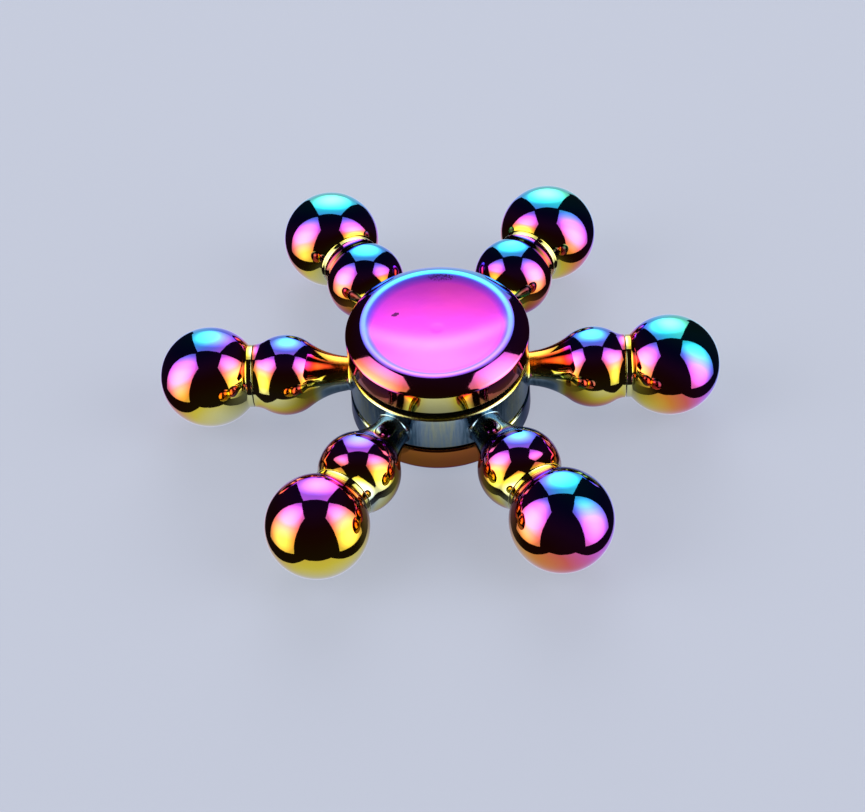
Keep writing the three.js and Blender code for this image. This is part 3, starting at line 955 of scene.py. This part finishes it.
def camera():
    azimuth, elevation, roll = -2.695, 46.868, -3.505
    distance = 294.2
    look_at = Vector((-1.05, -3.74, 4.49))
    turn = math.radians(azimuth)
    rise = math.radians(elevation)
    ahead = Vector((math.sin(turn) * math.cos(rise), math.cos(turn) * math.cos(rise), -math.sin(rise)))
    data = bpy.data.cameras.new("camera")
    data.lens = 90.15
    data.sensor_width = 36
    data.clip_start = 0.01
    obj = bpy.data.objects.new("camera", data)
    level = ahead.to_track_quat("-Z", "Y").to_matrix().to_4x4()
    place = Matrix.Translation((look_at - distance * ahead) * MM)
    obj.matrix_world = place @ level @ Matrix.Rotation(math.radians(roll), 4, "Z")
    bpy.context.scene.collection.objects.link(obj)
    bpy.context.scene.camera = obj


def staged_sheet(name, verts, faces, material):
    """A part of the set, its vertices in millimetres."""
    mesh = bpy.data.meshes.new(name)
    mesh.from_pydata([tuple(c * MM for c in v) for v in verts], [], faces)
    mesh.materials.append(material)
    obj = bpy.data.objects.new(name, mesh)
    bpy.context.scene.collection.objects.link(obj)
    return obj


def floor():
    """The pale floor. Only a patch close round the spinner shows in its polished surfaces: the rest of
    what they mirror is the deep table below, as if the spinner were held up in the light tent."""
    material, _, _, shader = node_tree("floor")
    shader.inputs["Base Color"].default_value = FLOOR_COLOUR
    shader.inputs["Roughness"].default_value = 1
    shader.inputs["Specular IOR Level"].default_value = 0
    shader.inputs["Emission Color"].default_value = FLOOR_COLOUR
    shader.inputs["Emission Strength"].default_value = FLOOR_LIFT
    wide = staged_sheet("floor_wide", *disc(FLOOR_R, 1), material)
    wide.visible_glossy = False

    patch = material.copy()
    nodes, links = patch.node_tree.nodes, patch.node_tree.links
    nodes["Principled BSDF"].inputs["Emission Strength"].default_value = NEAR_FLOOR_LIFT
    fade = nodes.new("ShaderNodeAttribute")
    fade.attribute_name = "fade"
    clear = nodes.new("ShaderNodeBsdfTransparent")
    mix = nodes.new("ShaderNodeMixShader")
    links.new(fade.outputs["Fac"], mix.inputs["Fac"])
    links.new(clear.outputs[0], mix.inputs[1])
    links.new(nodes["Principled BSDF"].outputs[0], mix.inputs[2])
    links.new(mix.outputs[0], nodes["Material Output"].inputs["Surface"])
    verts, faces = disc(NEAR_FLOOR_R, 24)
    near = staged_sheet("floor_near", verts, faces, patch)
    paint(near, "fade", smooth_step(*NEAR_FLOOR_FADE, np.hypot(*np.array(verts).T[:2])))
    near.visible_camera = False
    near.visible_shadow = False
    near.visible_diffuse = False


def disc(radius, rings, sides=96):
    """A flat disc at the origin, split into rings."""
    verts, faces = [(0, 0, 0)], []
    turns = np.linspace(0, 2 * math.pi, sides, False)
    for ring in range(1, rings + 1):
        reach = radius * ring / rings
        verts += [(reach * math.cos(a), reach * math.sin(a), 0) for a in turns]
    for i in range(sides):
        j = (i + 1) % sides
        faces.append((0, 1 + i, 1 + j))
        for ring in range(1, rings):
            low, high = 1 + (ring - 1) * sides, 1 + ring * sides
            faces.append((low + i, high + i, high + j, low + j))
    return verts, faces


def glow_material():
    """Light of the strength that the 'glow' attribute gives."""
    material = bpy.data.materials.new("glow")
    material.use_nodes = True
    nodes, links = material.node_tree.nodes, material.node_tree.links
    nodes.clear()
    glow = nodes.new("ShaderNodeAttribute")
    glow.attribute_name = "glow"
    light = nodes.new("ShaderNodeEmission")
    output = nodes.new("ShaderNodeOutputMaterial")
    links.new(glow.outputs["Color"], light.inputs["Color"])
    links.new(light.outputs[0], output.inputs["Surface"])
    return material


def set_glow(obj, lights):
    """Keeps the red, green and blue light of each vertex, for the glow material to read."""
    data = obj.data.attributes.new("glow", "FLOAT_COLOR", "POINT")
    data.data.foreach_set("color", [channel for light in lights for channel in (*light, 1)])


def heading(azimuth, elevation):
    """Unit vector towards an azimuth counter-clockwise from +X and an elevation, in degrees."""
    turn, rise = math.radians(azimuth), math.radians(elevation)
    return np.array([math.cos(turn) * math.cos(rise), math.sin(turn) * math.cos(rise), math.sin(rise)])


def soft_box(name, material, facing, corners, lamp_at=0.5, spread=0.6):
    """A flat lit sheet REACH away, square to the facing direction, with its corners in the given
    directions. It is brightest halfway across and lamp_at of the way up, and spread is how far the light
    reaches from there up and down, as a share of its height."""
    normal = heading(*facing)
    points = [heading(*c) for c in corners]
    points = [REACH * p / p.dot(normal) for p in points]
    steps = 16
    verts, faces, glow = [], [], []
    for i in range(steps + 1):
        for j in range(steps + 1):
            u, v = i / steps, j / steps
            low = points[0] * (1 - u) + points[1] * u
            high = points[3] * (1 - u) + points[2] * u
            verts.append(tuple(low * (1 - v) + high * v))
            out = min(1, math.hypot((u - 0.5) / BOX_SPREAD, (v - lamp_at) / spread))
            glow.append([BOX_EDGE + (BOX_CENTRE - BOX_EDGE) * (1 - out**2) ** 2] * 3)
    for i in range(steps):
        for j in range(steps):
            k = i * (steps + 1) + j
            faces.append((k, k + 1, k + steps + 2, k + steps + 1))
    obj = staged_sheet(name, verts, faces, material)
    set_glow(obj, glow)
    obj.visible_camera = False


def set_lights():
    glow = glow_material()
    soft_box("back_box", glow, (90, 25), [(112, -2), (67, -2), (38, 62), (142, 61)], 0.38, 0.46)
    soft_box("right_box", glow, (-14, 20), [(-47, -20), (12, -28), (28, 60), (-44, 59)])
    soft_box("left_box", glow, (194, 20), [(168, -28), (227, -20), (224, 59), (152, 60)])
    deep_table(glow)


def deep_table(material):
    """The table under the light tent, which bends up at its back edge."""
    low, front = -TABLE_DEPTH, -TABLE_FRONT
    side, top_side = TABLE_HALF_WIDTH, TABLE_TOP_HALF_WIDTH
    verts = [(-side, front, low), (side, front, low), (side, REACH, low), (-side, REACH, low)]
    verts += [(top_side, REACH, 0), (-top_side, REACH, 0)]
    sheet = staged_sheet("deep_table", verts, [(0, 1, 2, 3), (3, 2, 4, 5)], material)
    set_glow(sheet, [TABLE_GLOW] * len(verts))
    sheet.visible_camera = False
    sheet.visible_diffuse = False


def set_world():
    """Near black for what the metal mirrors, pale behind the floor for the camera."""
    world = bpy.data.worlds.new("world")
    bpy.context.scene.world = world
    world.use_nodes = True
    nodes, links = world.node_tree.nodes, world.node_tree.links
    backdrop = nodes["Background"]
    backdrop.inputs["Color"].default_value = BACKDROP
    dark = nodes.new("ShaderNodeBackground")
    dark.inputs["Color"].default_value = DARK_ROOM
    path = nodes.new("ShaderNodeLightPath")
    mix = nodes.new("ShaderNodeMixShader")
    links.new(path.outputs["Is Camera Ray"], mix.inputs["Fac"])
    links.new(dark.outputs[0], mix.inputs[1])
    links.new(backdrop.outputs[0], mix.inputs[2])
    links.new(mix.outputs[0], nodes["World Output"].inputs["Surface"])
    bpy.context.scene.view_settings.view_transform = "Standard"


camera()
floor()
set_lights()
set_world()

rotor_casting()
for arm in range(ARM_COUNT):
    outer_ball(arm)
cap("top_cap", TOP_GAP, True, TOP_WALL_FILM)
cap("bottom_cap", BOTTOM_GAP, False, BOTTOM_WALL_REFLECTION_FILM)
races()
bearing_balls()
cage()
shields()
clips()
stud()
